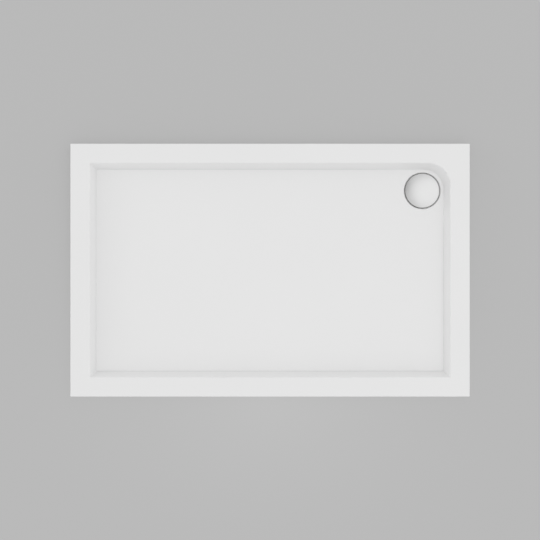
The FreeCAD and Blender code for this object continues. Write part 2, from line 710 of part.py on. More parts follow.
def make_nut(label, thread_bore, lip_bore, start, lip_start):
    """Round nut about its own Z, with a lip at its far end and finger flutes all round."""
    outside = f"({thread_bore} + nut_wall)"
    body = turned_body(label, [
        (thread_bore, start),
        (outside, start),
        (outside, f"{lip_start} + nut_lip - nut_bevel"),
        (f"{outside} - nut_bevel", f"{lip_start} + nut_lip"),
        (lip_bore, f"{lip_start} + nut_lip"),
        (lip_bore, lip_start),
        (thread_bore, lip_start),
    ])
    sketch = new_sketch(body, label + "_flute_outline", "XY")
    draw_circle(sketch, f"{outside} + flute_radius - flute_depth", "0", "flute_radius")
    flute = body.newObject("PartDesign::Pocket", label + "_flute")
    flute.Profile = sketch
    flute.Midplane = True
    flute.Type = "ThroughAll"
    settle(body, flute, True)
    polar(body, flute, label + "_flutes", "flute_count", axis="N_Axis")
    return body


def make_pipe_joint():
    """Cone seal, slip washer and compression nut that grip the waste pipe, and the elbow's nut."""
    cone = turned_body("cone_seal", [
        (PIPE_BORE, f"{SOCKET_END} - cone_depth * (1 - cone_gap / cone_width)"),
        (f"{PIPE_BORE} + cone_width - cone_gap", SOCKET_END),
        (f"{PIPE_BORE} + cone_width - cone_gap", WASHER_START),
        (PIPE_BORE, WASHER_START),
    ])
    washer = ring("slip_washer", PIPE_BORE, "(pipe_socket_radius - washer_margin)", WASHER_START,
                  WASHER_END)
    pipe_nut = make_nut("compression_nut", "(pipe_socket_radius + thread_clearance)",
                        PIPE_BORE, f"({SOCKET_END} - pipe_nut_length)", WASHER_END)
    ring_nut = make_nut("swivel_nut", "(outlet_radius + thread_clearance)",
                        "(spigot_radius + swivel_gap)", "(outlet_reach - swivel_nut_length)",
                        RING_NUT_LIP)
    return [put_on_arm(cone), put_on_arm(washer), put_on_arm(pipe_nut), put_on_outlet(ring_nut)]


# ---------------------------------------------------------------- lift-out insert and strainer


def make_insert():
    """Cup that stands on the flange's ledge, with a groove for its O-ring and the dip tube below."""
    tube_bore = "(tube_radius - insert_wall)"
    ledge_fit = "(ledge_radius - ledge_clearance)"
    groove_top = f"({INSERT_TOP} - groove_top)"
    groove_foot = f"({groove_top} - seal_section - 2 * groove_clearance)"
    funnel_top = f"({LEDGE_TOP} - funnel_start)"
    funnel_foot = f"({funnel_top} - funnel_depth)"
    body = turned_body("trap_insert", [
        (tube_bore, TUBE_END),
        ("tube_radius", TUBE_END),
        ("tube_radius", funnel_foot),
        (ledge_fit, funnel_top),
        (ledge_fit, LEDGE_TOP),
        (INSERT_RADIUS, LEDGE_TOP),
        (INSERT_RADIUS, groove_foot),
        (GROOVE_RADIUS, groove_foot),
        (GROOVE_RADIUS, groove_top),
        (INSERT_RADIUS, groove_top),
        (INSERT_RADIUS, INSERT_TOP),
        (CUP_RADIUS, INSERT_TOP),
        (CUP_RADIUS, f"{funnel_top} + insert_wall"),
        (tube_bore, f"{funnel_foot} + insert_wall"),
    ])
    handle_top = f"({INSERT_TOP} - handle_drop)"
    plate(body, "handle", "YZ", [
        ("-handle_width / 2", f"{handle_top} - handle_thickness"),
        ("handle_width / 2", f"{handle_top} - handle_thickness"),
        ("handle_width / 2", handle_top),
        ("-handle_width / 2", handle_top),
    ], f"2 * {CUP_RADIUS} + insert_wall")
    seal = o_ring("insert_seal", "throat_radius - seal_clearance - seal_section / 2", "seal_section")
    put(seal, height=f"{groove_top} - seal_section / 2 - groove_clearance")
    return [put(body), seal]


def make_strainer():
    """Slotted plate on the insert's rim, with a skirt that centres it and a hub for the cover's peg."""
    bore = "(peg_radius + peg_clearance)"
    skirt_bore = f"({SKIRT_RADIUS} - skirt_wall)"
    body = turned_body("hair_strainer", [
        (bore, STRAINER_FOOT),
        ("hub_radius", STRAINER_FOOT),
        ("hub_radius", INSERT_TOP),
        (skirt_bore, INSERT_TOP),
        (skirt_bore, STRAINER_FOOT),
        (SKIRT_RADIUS, STRAINER_FOOT),
        (SKIRT_RADIUS, INSERT_TOP),
        ("strainer_radius", INSERT_TOP),
        ("strainer_radius", STRAINER_TOP),
        ("hub_radius", STRAINER_TOP),
        ("hub_radius", HUB_TOP),
        (bore, HUB_TOP),
    ])
    inside = "(hub_radius + slot_margin)"
    outside = f"({skirt_bore} - slot_margin)"
    middle = f"(({inside} + {outside}) / 2)"
    below = f"({INSERT_TOP} - strainer_thickness)"
    above = f"({STRAINER_TOP} + strainer_thickness)"
    sector_row(body, "inner_slot", inside, f"({middle} - slot_ring / 2)", below, above, "inner_slots",
               "slot_bar")
    sector_row(body, "outer_slot", f"({middle} + slot_ring / 2)", outside, below, above, "outer_slots",
               "slot_bar")
    return put(body)


# ---------------------------------------------------------------- cover


def dome_level(radius, inset):
    """Height of the dome's sphere, drawn in by an inset, at a radius from the waste's axis."""
    return f"({DOME_MIDDLE} + sqrt(({DOME_RADIUS} - {inset}) ^ 2 - ({radius}) ^ 2))"


def make_cover():
    """Dome of sheet metal with an upright edge, and the spider that carries it on a peg."""
    inner_edge = "(cover_radius - cover_thickness)"
    crown = f"({COVER_EDGE} + cover_rise)"
    dome = turned_body("waste_cover", [
        ("0", crown),
        ("cover_radius", COVER_EDGE, f"-{DOME_RADIUS}"),
        ("cover_radius", COVER_FOOT),
        (inner_edge, COVER_FOOT),
        (inner_edge, dome_level(inner_edge, "cover_thickness")),
        ("0", f"{crown} - cover_thickness", f"({DOME_RADIUS} - cover_thickness)"),
    ])
    inset = "(cover_thickness + bond_gap)"
    carrier = turned_body("cover_carrier", [
        ("0", f"{HUB_TOP} - peg_length"),
        ("peg_radius", f"{HUB_TOP} - peg_length"),
        ("peg_radius", HUB_TOP),
        ("hub_radius", HUB_TOP),
        ("hub_radius", COVER_FOOT),
        (CARRIER_RADIUS, COVER_FOOT),
        (CARRIER_RADIUS, dome_level(CARRIER_RADIUS, inset)),
        ("0", f"{crown} - {inset}", f"({DOME_RADIUS} - {inset})"),
    ])
    sector_row(carrier, "opening", "(hub_radius + carrier_hub_margin)",
               f"({CARRIER_RADIUS} - carrier_rim)", f"({COVER_FOOT} - cover_skirt)",
               f"({crown} + cover_skirt)", "carrier_arms", "carrier_arm_width")
    return [put(dome), put(carrier)]


# ---------------------------------------------------------------- the whole, checked and written


def write_parts(parts):
    """Check every object and every piece, then write each piece to its own file."""
    doc.recompute()
    for thing in doc.Objects:
        if "Invalid" in thing.State or "Error" in thing.State:
            raise RuntimeError(f"{thing.Label} failed: {thing.State}")
    for part in parts:
        shape = part.Shape
        if shape.isNull() or not shape.isValid() or len(shape.Solids) != 1:
            raise RuntimeError(f"{part.Label} isn't one valid solid")
    os.makedirs("parts", exist_ok=True)
    for part in parts:
        part.Shape.exportStep(f"parts/{part.Label}.step")
        print(f"{part.Label}: {part.Shape.Volume / 1000:.1f} cm3")


write_parts([
    *make_tray(),
    *make_seals(),
    make_flange(),
    make_trap_body(),
    *make_elbow(),
    *make_pipe_joint(),
    *make_insert(),
    make_strainer(),
    *make_cover(),
])
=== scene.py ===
import math

import bpy
import numpy as np
from bpy.props import FloatProperty, FloatVectorProperty, PointerProperty
from bpy.types import Operator, Panel, PropertyGroup
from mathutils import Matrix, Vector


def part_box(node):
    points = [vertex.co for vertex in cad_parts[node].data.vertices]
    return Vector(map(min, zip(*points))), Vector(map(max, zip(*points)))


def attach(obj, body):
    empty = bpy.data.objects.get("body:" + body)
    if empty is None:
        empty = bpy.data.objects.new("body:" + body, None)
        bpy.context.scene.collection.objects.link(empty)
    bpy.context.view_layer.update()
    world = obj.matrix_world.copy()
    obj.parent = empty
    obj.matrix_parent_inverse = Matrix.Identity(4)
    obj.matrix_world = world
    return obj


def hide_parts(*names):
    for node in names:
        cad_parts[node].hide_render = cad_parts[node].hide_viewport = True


bl_info = {
    "name": "Shower Tray",
    "version": (1, 0, 0),
    "blender": (4, 5, 0),
    "location": "3D View > Sidebar > Shower Tray",
    "description": "Dresses a low shower tray, its domed waste and its trap",
    "category": "Object",
}

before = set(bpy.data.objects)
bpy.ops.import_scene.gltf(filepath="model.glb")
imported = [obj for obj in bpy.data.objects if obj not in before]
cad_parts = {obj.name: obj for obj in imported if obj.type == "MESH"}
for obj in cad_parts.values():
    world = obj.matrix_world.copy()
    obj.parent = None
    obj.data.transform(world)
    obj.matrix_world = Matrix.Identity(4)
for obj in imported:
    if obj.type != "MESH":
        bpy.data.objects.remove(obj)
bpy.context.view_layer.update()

PHOTO_SIDE = 540
SHEET_NODE = "acrylic_cap"
DOME_NODE = "waste_cover"


def length(label, note, size):
    """Property that holds a length in metres."""
    return FloatProperty(name=label, description=note, default=size, unit="LENGTH", subtype="DISTANCE")


def tint(label, note, red, green, blue):
    """Property that holds a colour."""
    return FloatVectorProperty(name=label, description=note, default=(red, green, blue), size=3,
                               min=0.0, max=1.0, subtype="COLOR")


def share(label, note, size):
    """Property that holds a share between 0 and 1."""
    return FloatProperty(name=label, description=note, default=size, min=0.0, max=1.0, subtype="FACTOR")


# ---------------------------------------------------------------- what a user would change


class SheetSizes(PropertyGroup):
    """Sizes of the white sheet that forms the rim, the dish and the skirts"""

    rim_width: length("Rim width", "Flat rim, from the tray's side to the dish", 0.058)
    wall_run: length("Wall run", "Plan width of the dish's sloping wall", 0.0175)
    dish_depth: length("Dish depth", "Rim to floor in the corner furthest from the waste", 0.018)
    floor_fall: length("Floor fall", "Fall of the floor from that corner to the waste", 0.008)
    waste_inset: length("Waste inset", "Waste axis to the two nearest sides of the tray", 0.140)
    rim_corner: length("Rim corner", "Radius of the dish corner beside the waste, at the rim", 0.066)
    floor_corner: length("Floor corner", "Radius of that corner at the floor", 0.058)
    mitre: length("Mitre", "Small radius of the other three dish corners", 0.002)
    side_corner: length("Side corner", "Radius of the upright outer corners", 0.003)
    edge_round: length("Edge rounding", "Rounding of the rim's outer edge", 0.0015)
    lip_round: length("Lip rounding", "Reach of the rounding between rim and wall, each way", 0.0016)
    crease_round: length("Crease rounding", "Reach of the rounding between wall and floor", 0.0018)
    # Painted shade: reach round the waste within which the crease's painted shade fades out.
    shade_fade_reach: length("Unshaded reach", "Reach round the waste in which the crease stays clean", 0.12)
    pocket_radius: length("Pocket radius", "Round pocket that the waste sits in", 0.055)
    pocket_level: length("Pocket level", "Height of the pocket's bottom", 0.009)
    pocket_round: length("Pocket rounding", "Rounding of the pocket's upper edge", 0.001)
    hole_radius: length("Hole radius", "Hole in the pocket's bottom", 0.045)
    thickness: length("Thickness", "Thickness of the sheet", 0.0029)


class DomeSizes(PropertyGroup):
    """Sizes of the metal dome over the waste"""

    skirt: length("Skirt", "Upright edge of the dome", 0.0015)
    thickness: length("Thickness", "Thickness of the metal", 0.001)
    edge_round: length("Edge rounding", "Rounding between the dome and its upright edge", 0.0009)


class Finishes(PropertyGroup):
    """Colours of the tray and its waste"""

    acrylic: tint("Acrylic", "Gloss white sheet", 0.768, 0.768, 0.768)
    resin: tint("Stone resin", "Cast core under the sheet", 0.62, 0.60, 0.56)
    fibre: tint("Glass fibre", "Mat that closes the underside", 0.60, 0.62, 0.56)
    rubber: tint("Rubber", "Washers and O-rings", 0.03, 0.03, 0.03)
    steel: tint("Flange steel", "Turned steel of the flange", 0.55, 0.55, 0.54)
    bright_steel: tint("Strainer steel", "Pressed steel of the strainer", 0.60, 0.60, 0.60)
    chrome: tint("Chrome", "Satin chrome of the dome", 0.60, 0.60, 0.60)
    trap: tint("Trap plastic", "Moulded white plastic of the trap", 0.80, 0.80, 0.79)
    nut: tint("Nut plastic", "Moulded plastic of the nuts", 0.72, 0.72, 0.71)
    washer: tint("Washer plastic", "Slip washer", 0.75, 0.75, 0.70)
    insert: tint("Insert plastic", "Grey plastic of the lift-out insert", 0.55, 0.56, 0.57)
    carrier: tint("Carrier plastic", "Dark grey plastic under the dome", 0.30, 0.30, 0.31)


class StudioSizes(PropertyGroup):
    """Camera, floor and light"""

    lens: FloatProperty(name="Lens", description="Focal length of the camera in millimetres", default=85.0)
    view_width: length("View width", "Width that the picture covers at the rim's height", 1.6219)
    centre_across: FloatProperty(name="Centre across", default=270.05,
                                 description="Tray's centre in the picture, in pixels from its left side")
    centre_down: FloatProperty(name="Centre down", default=270.16,
                               description="Tray's centre in the picture, in pixels from its top side")
    floor_size: length("Floor size", "Side of the floor", 60.0)
    bearing: length("Bearing", "Width of floor that the tray's edge rests on", 0.001)
    floor_tint: tint("Floor", "Grey of the floor", 0.49, 0.49, 0.49)
    light_level: FloatProperty(name="Light", description="Strength of the soft box", default=1.307)
    room_level: share("Room", "Brightness of the room's ceiling, as a share of the soft box's", 0.65)
    wall_level: FloatProperty(name="Walls", description="Brightness of the room's walls, as the same share",
                              default=1.11)
    ground_level: share("Ground", "Brightness of what lies below the floor, as the same share", 0.6)
    side_level: share("Side light", "Brightness that the side light adds, as the same share", 1.0)
    dim_level: share("Dim corner", "Brightness that the dim corner lacks, as the same share", 0.19)
    near_glow: share("Near glow", "Share of the floor's brightness without shadow, in front of the tray", 0.85)
    far_glow: share("Far glow", "The same share behind the tray, where the shadow is deeper", 0.5)


def waste_axis():
    """Place of the waste's upright axis."""
    low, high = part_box(DOME_NODE)
    return (low.x + high.x) / 2, (low.y + high.y) / 2


# ---------------------------------------------------------------- surfaces from arrays

# Share of a rounding's reach at which a profile has one more point outside it.
GUARD_SHARE = 0.25


def ramp(distance, reach):
    """Softened ramp: 0 before -reach, the distance itself past +reach, and between them the parabola
    (distance + reach)^2 / (4 reach), which meets both with the same slope."""
    middle = (distance + reach) ** 2 / (4 * reach)
    return np.where(distance < -reach, 0.0, np.where(distance > reach, distance, middle))


def guarded(low, high, steps, guard):
    """Even places from low to high, with one more place a guard's width outside each end."""
    return np.concatenate(([low - guard], np.linspace(low, high, steps + 1), [high + guard]))


def side_shares(start, end, axis, turn_step, guard):
    """Places along a straight side, as shares of it, that stand at even angles round an axis point.

    A point at the turn t from the side's nearest point to the axis lies away * tan(t) from that
    point. Both ends have one more place a guard's width inside them.
    """
    way = end - start
    size = np.hypot(*way)
    along = way / size
    foot = np.dot(axis - start, along)
    away = abs(along[0] * (axis - start)[1] - along[1] * (axis - start)[0])
    low, high = math.atan2(-foot, away), math.atan2(size - foot, away)
    turns = np.linspace(low, high, math.ceil((high - low) / turn_step) + 1)
    shares = (foot + away * np.tan(turns)) / size
    inside = shares[(shares * size > 2 * guard) & ((1 - shares) * size > 2 * guard)]
    return np.concatenate(([guard / size], inside, [1 - guard / size]))


def corner_arcs(half_x, half_y, radii, steps):
    """The four corners of a rectangle about the origin, anticlockwise from the one at +X +Y.

    Corner k is a quarter circle about a centre that lies one radius inside both sides; its points
    are centre + radius * (cos t, sin t), with t from 90 k to 90 (k + 1) degrees.
    """
    arcs = []
    for corner, (radius, count) in enumerate(zip(radii, steps)):
        turn = np.radians(np.linspace(90.0 * corner, 90.0 * (corner + 1), count + 1))
        middle = math.radians(90.0 * corner + 45.0)
        centre = np.array([np.sign(math.cos(middle)) * (half_x - radius),
                           np.sign(math.sin(middle)) * (half_y - radius)])
        arcs.append(centre + radius * np.stack((np.cos(turn), np.sin(turn)), axis=1))
    return arcs


def outline(arcs, shares):
    """Closed row of points: each corner's arc, then the straight side to the next one."""
    rows = []
    for corner, arc in enumerate(arcs):
        start, end = arc[-1], arcs[(corner + 1) % len(arcs)][0]
        rows += [arc, start + (end - start) * shares[corner][:, None]]
    return np.concatenate(rows)


def profile(corners, steps):
    """Profile (radius, height) through corners (radius, height) or (radius, height, rounding).

    A corner b with a rounding s is replaced by the parabola (1-t)^2 a + 2 t (1-t) b + t^2 c between
    the points a and c that lie s before and after it, with one more point a quarter of s outside each.
    """
    rows = []
    wider = 1 + GUARD_SHARE
    places = np.array([corner[:2] for corner in corners], float)
    share_along = np.linspace(0.0, 1.0, steps + 1)[:, None]
    for index, corner in enumerate(corners):
        here = places[index]
        if len(corner) == 2:
            rows.append(here[None])
            continue
        before = places[index - 1] - here
        after = places[(index + 1) % len(corners)] - here
        before = before / np.hypot(*before) * corner[2]
        after = after / np.hypot(*after) * corner[2]
        curve = here + (1 - share_along) ** 2 * before + share_along ** 2 * after
        rows += [(here + wider * before)[None], curve, (here + wider * after)[None]]
    return np.concatenate(rows)


def turned(section, stations, axis):
    """Surface of revolution: every point (radius, height) of a section goes round an upright axis."""
    turn = np.linspace(0.0, 2 * math.pi, stations, endpoint=False)
    radius, height = section[:, 0][:, None], section[:, 1][:, None]
    across = axis[0] + radius * np.cos(turn)
    along = axis[1] + radius * np.sin(turn)
    return np.stack((across, along, np.broadcast_to(height, across.shape)), axis=2)


def add_surface(name, points, looped, fields=None):
    """Mesh object from a grid of points (rings, stations, 3), closed round the stations.

    The rings run anticlockwise round the material's section, radius to the right and height up, so
    that faces look outwards. A looped grid joins its last ring to its first; otherwise the first
    and last rings are poles, each drawn in to one point. Fields are values per grid point.
    """
    rings, stations = points.shape[:2]
    if looped:
        places = points.reshape(-1, 3)
        number = np.arange(len(places)).reshape(rings, stations)
        below, above = number, np.roll(number, -1, axis=0)
        fans = []
    else:
        places = np.concatenate((points[:1, 0], points[1:-1].reshape(-1, 3), points[-1:, 0]))
        number = 1 + np.arange((rings - 2) * stations).reshape(rings - 2, stations)
        below, above = number[:-1], number[1:]
        first, last = number[0], number[-1]
        pole = np.full_like(last, len(places) - 1)
        fans = np.concatenate((np.stack((np.zeros_like(first), np.roll(first, -1), first), axis=1),
                               np.stack((last, np.roll(last, -1), pole), axis=1))).tolist()
    quads = np.stack((below, np.roll(below, -1, axis=1), np.roll(above, -1, axis=1), above), axis=2)
    mesh = bpy.data.meshes.new(name)
    mesh.from_pydata(places.tolist(), [], fans + quads.reshape(-1, 4).tolist())
    mesh.shade_smooth()
    for field, values in (fields or {}).items():
        layer = mesh.attributes.new(field, "FLOAT", "POINT")
        layer.data.foreach_set("value", np.asarray(values, np.float32).ravel())
    mesh.validate()
    thing = bpy.data.objects.new(name, mesh)
    bpy.context.scene.collection.objects.link(thing)
    return thing


def seat(thing, body, material, node):
    """Give a new piece its finish and let it stand for its node on its body."""
    thing.data.materials.append(material)
    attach(thing, body)
    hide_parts(node)


# ---------------------------------------------------------------- the sheet

# Steps across each rounding, along the corners' arcs (the first is the corner beside the waste), and
# from the dish's last ring to the pocket.
SECTION_STEPS = 8
CORNER_STEPS = (48, 8, 8, 8)
FLOOR_RINGS = 8

# Distance from a rounding to the next ring, which keeps the shading of the flats even.
GUARD = 0.0005

# Largest angle between two stations of a straight side, seen from the waste.
TURN_STEP = math.radians(1.5)


class SheetForm:
    """The tray's sheet as a grid: its outside from the skirt's foot to the waste hole."""

    def __init__(self, sizes):
        low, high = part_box(SHEET_NODE)
        self.sizes = sizes
        self.half = np.array([high.x, high.y])
        self.top = high.z
        self.rim_half = self.half - sizes.rim_width
        self.axis = self.half - sizes.waste_inset
        floor_half = self.rim_half - sizes.wall_run
        far = -floor_half
        run = self.axis - far
        self.fall = -sizes.floor_fall * run / np.dot(run, run)
        self.floor_start = self.top - sizes.dish_depth - np.dot(self.fall, far)
        arcs = corner_arcs(*floor_half, self.dish_radii(sizes.wall_run), CORNER_STEPS)
        self.shares = [
            side_shares(arc[-1], arcs[(corner + 1) % len(arcs)][0], self.axis, TURN_STEP, GUARD)
            for corner, arc in enumerate(arcs)
        ]
        self.crease = self.dish_plan(sizes.wall_run)
        from_axis = self.crease - self.axis
        self.turn = np.arctan2(from_axis[:, 1], from_axis[:, 0])

    def dish_radii(self, inward):
        """Corner radii of the dish at a plan distance inwards from the rim's inner edge."""
        sizes = self.sizes
        change = (sizes.floor_corner - sizes.rim_corner) * inward / sizes.wall_run
        return (sizes.rim_corner + change, sizes.mitre, sizes.mitre, sizes.mitre)

    def dish_plan(self, inward):
        """Plan of the dish at a distance inwards from the rim's inner edge."""
        return outline(corner_arcs(*(self.rim_half - inward), self.dish_radii(inward), CORNER_STEPS),
                       self.shares)

    def level(self, points):
        """Height of the floor's plane: it falls evenly along the line from the far corner to the waste."""
        return self.floor_start + points @ self.fall

    def ring(self, points, height):
        """Plan points lifted to a height, which is one for all or one for each."""
        heights = np.broadcast_to(height, points.shape[:1])
        return np.concatenate((points, heights[:, None]), axis=1)

    def circle(self, radius, height):
        """Ring of the stations' own turns round the waste's axis."""
        points = self.axis + radius * np.stack((np.cos(self.turn), np.sin(self.turn)), axis=1)
        return self.ring(points, height)

    def side_rings(self, inset, drop):
        """Skirt, and the rim's outer edge as the quarter circle inset + r (1 - cos t), top - r (1 - sin t)."""
        sizes = self.sizes
        foot = sizes.edge_round / 4
        turn = np.linspace(0.0, math.pi / 2, SECTION_STEPS + 1)
        insets = [foot, 0.0, 0.0, 0.0]
        heights = [0.0, foot, 2 * foot, self.top - drop - sizes.edge_round - GUARD]
        insets += list(sizes.edge_round * (1 - np.cos(turn))) + [sizes.edge_round + GUARD]
        heights += list(self.top - drop - sizes.edge_round * (1 - np.sin(turn))) + [self.top - drop]
        rings = []
        for extra, height in zip(insets, heights):
            half = self.half - inset - extra
            radius = sizes.side_corner - extra
            arcs = corner_arcs(*half, (radius,) * 4, CORNER_STEPS)
            rings.append(self.ring(outline(arcs, self.shares), height))
        return rings

    def dish_insets(self):
        """Plan distances of the dish's rings: across the lip's rounding, mid-wall, across the crease's."""
        sizes = self.sizes
        lip = guarded(-sizes.lip_round, sizes.lip_round, SECTION_STEPS, GUARD)
        crease = sizes.wall_run + guarded(-sizes.crease_round, sizes.crease_round, SECTION_STEPS, GUARD)
        return np.concatenate((lip, [(lip[-1] + crease[0]) / 2], crease))

    def dish_rings(self, drop):
        """Rim, wall and floor at plan distances q inwards from the rim's inner edge.

        The height is top - s ramp(q) + (s + k) ramp(q - wall_run), where s is the wall's slope at
        that station and k the floor's own, so both bends are soft and the planes stay plane.
        """
        sizes = self.sizes
        slope = (self.top - self.level(self.crease)) / sizes.wall_run
        floor_slope = (self.crease - self.dish_plan(0.0)) @ self.fall / sizes.wall_run
        rings = []
        for inward in self.dish_insets():
            height = (self.top - slope * ramp(inward, sizes.lip_round)
                      + (slope + floor_slope) * ramp(inward - sizes.wall_run, sizes.crease_round))
            rings.append(self.ring(self.dish_plan(inward), height - drop))
        return rings

    def floor_rings(self, last, radius, drop):
        """Rings on the floor's plane, spaced evenly from the dish's last ring to a circle's guard."""
        start = last[:, :2]
        end = self.circle(radius, 0.0)[:, :2]
        rings = []
        for part in np.linspace(0.0, 1.0, FLOOR_RINGS + 1)[1:]:
            points = start + (end - start) * part
            rings.append(self.ring(points, self.level(points) - drop))
        return rings

    def pocket_rings(self, grow, drop):
        """Pocket's edge, wall and bottom: each bend is the parabola a (1-t)^2 + b t^2 from its corner."""
        sizes = self.sizes
        radius = sizes.pocket_radius + grow
        bottom = sizes.pocket_level - drop
        bend = sizes.pocket_round
        part = np.linspace(0.0, 1.0, SECTION_STEPS + 1)
        edge = self.level(self.circle(radius, 0.0)[:, :2]) - drop
        rings = [self.circle(radius + bend * (1 - along) ** 2, edge - bend * along ** 2)
                 for along in part]
        rings.append(self.circle(radius, edge - bend - GUARD))
        rings.append(self.circle(radius, bottom + bend + GUARD))
        rings += [self.circle(radius - bend * along ** 2, bottom + bend * (1 - along) ** 2)
                  for along in part]
        rings.append(self.circle(radius - bend - GUARD, bottom))
        rings.append(self.circle(sizes.hole_radius + GUARD, bottom))
        rings.append(self.circle(sizes.hole_radius, bottom - GUARD if drop == 0 else bottom + GUARD))
        return rings

    def face(self, inset, drop):
        """All rings of one side of the sheet, from the skirt's foot to the hole."""
        rings = self.side_rings(inset, drop) + self.dish_rings(drop)
        outer = self.sizes.pocket_radius + inset + self.sizes.pocket_round + GUARD
        rings += self.floor_rings(rings[-1], outer, drop)
        return rings + self.pocket_rings(inset, drop)

    def grid(self):
        """Closed grid: the outside inwards to the hole, then the hidden side back to the skirt's foot."""
        hidden = self.face(self.sizes.thickness, self.sizes.thickness)
        return np.stack(self.face(0.0, 0.0) + hidden[::-1])

    def crease_shade_field(self, points):
        """Share of painted shade in the crease: exp(-(q / crease_round)^2) at a plan distance q from it, times
        1 - exp(-(d / shade_fade_reach)^2) at a distance d from the waste, which fades the painted shade out
        round it.
        """
        sizes = self.sizes
        inwards = self.dish_insets()
        across = np.exp(-((inwards - sizes.wall_run) / sizes.crease_round) ** 2)
        away = np.linalg.norm(self.crease - self.axis, axis=1)
        along = 1 - np.exp(-(away / sizes.shade_fade_reach) ** 2)
        first = len(self.side_rings(0.0, 0.0))
        field = np.zeros(points.shape[:2])
        field[first:first + len(inwards)] = across[:, None] * along
        return field


# ---------------------------------------------------------------- the dome

# Stations round the dome and rings from its middle to its edge.
DOME_STATIONS = 160
DOME_RINGS = 40


def dome_section(radius, foot, crown, sizes):
    """Section of the dome, from the middle of its underside to the middle of its top.

    Both faces are arcs of spheres: at a distance r from the axis the top lies at
    middle + sqrt(R^2 - r^2), with R = (a^2 + h^2) / 2h for a rise h over the radius a.
    """
    rise = crown - foot - sizes.skirt
    sphere = (radius ** 2 + rise ** 2) / (2 * rise)
    middle = crown - sphere
    inner = radius - sizes.thickness
    spread = np.linspace(0.0, 1.0, DOME_RINGS + 1)

    def arc(size, reach):
        across = reach * spread
        return np.stack((across, middle + np.sqrt(size ** 2 - across ** 2)), axis=1)

    under = arc(sphere - sizes.thickness, inner)
    over = arc(sphere, radius)[::-1]
    hidden_round = sizes.thickness / 3
    edge = profile([
        (under[-2][0], under[-2][1]),
        (inner, under[-1][1], hidden_round),
        (inner, foot, hidden_round),
        (radius, foot, hidden_round),
        (radius, over[0][1], sizes.edge_round),
        (over[1][0], over[1][1]),
    ], SECTION_STEPS)
    return np.concatenate((under[:-2], edge, over[2:]))


# ---------------------------------------------------------------- material helpers


def add_node(tree, kind, inputs=None, **settings):
    """Node of a tree, with its settings, and inputs that are either values or sockets to link."""
    node = tree.nodes.new(kind)
    for name, setting in settings.items():
        setattr(node, name, setting)
    for name, given in (inputs or {}).items():
        socket = node.inputs[name]
        if isinstance(given, bpy.types.NodeSocket):
            tree.links.new(given, socket)
        else:
            socket.default_value = given
    return node


def maths(tree, operation, first, second=0.0, third=0.0):
    """Result of one sum on values or sockets."""
    node = add_node(tree, "ShaderNodeMath", {0: first, 1: second, 2: third}, operation=operation)
    return node.outputs[0]


def blended(tree, factor, first, second):
    """Colour between two, by a factor."""
    node = add_node(tree, "ShaderNodeMix", {"Factor": factor, "A": first, "B": second}, data_type="RGBA")
    return node.outputs["Result"]


def ranged(tree, given, low, high, new_low, new_high, **settings):
    """Value moved from one range to another, and kept inside it."""
    node = add_node(tree, "ShaderNodeMapRange", {"Value": given, "From Min": low, "From Max": high,
                                                 "To Min": new_low, "To Max": new_high}, **settings)
    return node.outputs["Result"]


def coordinates(tree):
    """Object coordinates, in metres."""
    return add_node(tree, "ShaderNodeTexCoord").outputs["Object"]


def about_waste(tree):
    """Object coordinates counted from the waste's axis."""
    across, along = waste_axis()
    centred = add_node(tree, "ShaderNodeMapping", {"Vector": coordinates(tree),
                                                   "Location": (-across, -along, 0.0)})
    return centred.outputs[0]


def opaque(colour):
    """Colour with a full alpha."""
    return (colour[0], colour[1], colour[2], 1.0)


def shaded(colour, factor):
    """Colour made darker or lighter by a factor, at most white."""
    return tuple(min(1.0, part * factor) for part in colour[:3]) + (1.0,)


def new_group(name, inputs, outputs):
    """Empty node group with float or vector sockets, as (tree, its inputs, its output node)."""
    tree = bpy.data.node_groups.new(name, "ShaderNodeTree")
    for label, kind, default in inputs:
        socket = tree.interface.new_socket(name=label, in_out="INPUT", socket_type=kind)
        if default is not None:
            socket.default_value = default
    for label, kind in outputs:
        tree.interface.new_socket(name=label, in_out="OUTPUT", socket_type=kind)
    entry = tree.nodes.new("NodeGroupInput")
    leave = tree.nodes.new("NodeGroupOutput")
    return tree, entry.outputs, leave


def finish_group(tree, leave, results):
    """Link a group's results to its outputs."""
    for label, socket in results.items():
        tree.links.new(socket, leave.inputs[label])
    return tree


# Angles of the three layers of scratches, in degrees, and how far the noise has to rise for a scratch:
# the threshold falls by the second value as the amount grows to 1.
SCRATCH_TURNS = (17.0, 74.0, 131.0)
SCRATCH_EDGE = (0.86, 0.2)

# Part of 0 to 1 that a noise mostly fills, and the part in which a film shows.
NOISE_SPAN = (0.3, 0.7)
FILM_SPAN = (0.4, 0.7)

# Size of the slow shade on turned metal, against its rings.
SLOW_RINGS = 0.08


def grain_group():
    """Fine grain of a moulded or cast surface, with slow mottling."""
    tree, given, leave = new_group(
        "surface_grain",
        [("Vector", "NodeSocketVector", None), ("Grain size", "NodeSocketFloat", 0.001),
         ("Mottle size", "NodeSocketFloat", 0.05)],
        [("Height", "NodeSocketFloat"), ("Mottle", "NodeSocketFloat")])
    grain_scale = maths(tree, "DIVIDE", 1.0, given["Grain size"])
    mottle_scale = maths(tree, "DIVIDE", 1.0, given["Mottle size"])
    grain = add_node(tree, "ShaderNodeTexNoise", {"Vector": given["Vector"], "Scale": grain_scale,
                                                  "Detail": 3.0, "Roughness": 0.6})
    mottle = add_node(tree, "ShaderNodeTexNoise", {"Vector": given["Vector"], "Scale": mottle_scale,
                                                   "Detail": 4.0, "Roughness": 0.55})
    return finish_group(tree, leave, {"Height": grain.outputs["Fac"], "Mottle": mottle.outputs["Fac"]})


